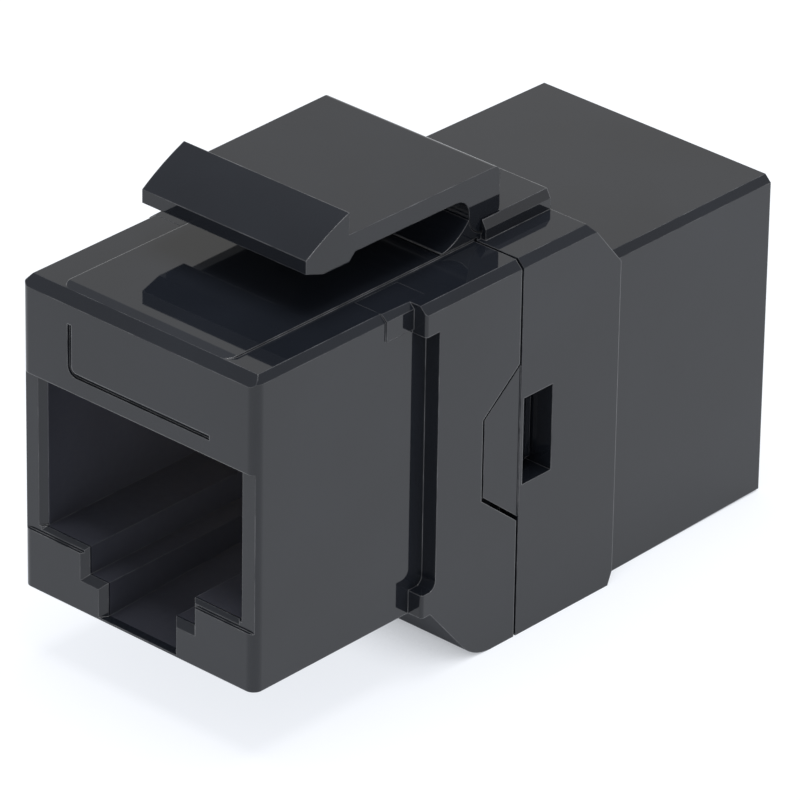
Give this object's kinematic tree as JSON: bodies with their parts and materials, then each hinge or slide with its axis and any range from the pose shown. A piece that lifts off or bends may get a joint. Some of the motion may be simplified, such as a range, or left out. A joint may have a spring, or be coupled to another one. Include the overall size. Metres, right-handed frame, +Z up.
{
  "type": "ethernet keystone coupler",
  "caption": "In-line network keystone coupler with a modular socket at each end, a split flange and a sprung latch arm on top.",
  "frame": {"origin": "on the resting plane, below the middle of the coupler's box", "axes": "+Z up, latch arm on top; +Y from the front socket towards the rear socket; +X to the right seen from the front"},
  "size_m": [0.0164, 0.0354, 0.0242],
  "materials": {
    "black_gloss": "polished black moulding",
    "insert_black": "satin black insert",
    "board_green": "solder-resist green laminate",
    "contact_gold": "gold-plated spring wire"
  },
  "bodies": {
    "coupler": {"front_housing": "black_gloss", "rear_housing": "black_gloss", "circuit_board": "board_green", "front_contact_carrier": "insert_black", "rear_contact_carrier": "insert_black", "front_contact_1": "contact_gold", "front_contact_2": "contact_gold", "front_contact_3": "contact_gold", "front_contact_4": "contact_gold", "front_contact_5": "contact_gold", "front_contact_6": "contact_gold", "front_contact_7": "contact_gold", "front_contact_8": "contact_gold", "rear_contact_1": "contact_gold", "rear_contact_2": "contact_gold", "rear_contact_3": "contact_gold", "rear_contact_4": "contact_gold", "rear_contact_5": "contact_gold", "rear_contact_6": "contact_gold", "rear_contact_7": "contact_gold", "rear_contact_8": "contact_gold"},
    "latch": {"latch_arm": "black_gloss"}
  },
  "joints": [
    {"name": "latch_press", "type": "hinge", "parent": "coupler", "child": "latch", "pos_m": [0, -0.00038, 0.02105], "axis": [1, 0, 0], "range_deg": [0, 10], "stiffness_Nm_per_rad": 0.08}
  ]
}
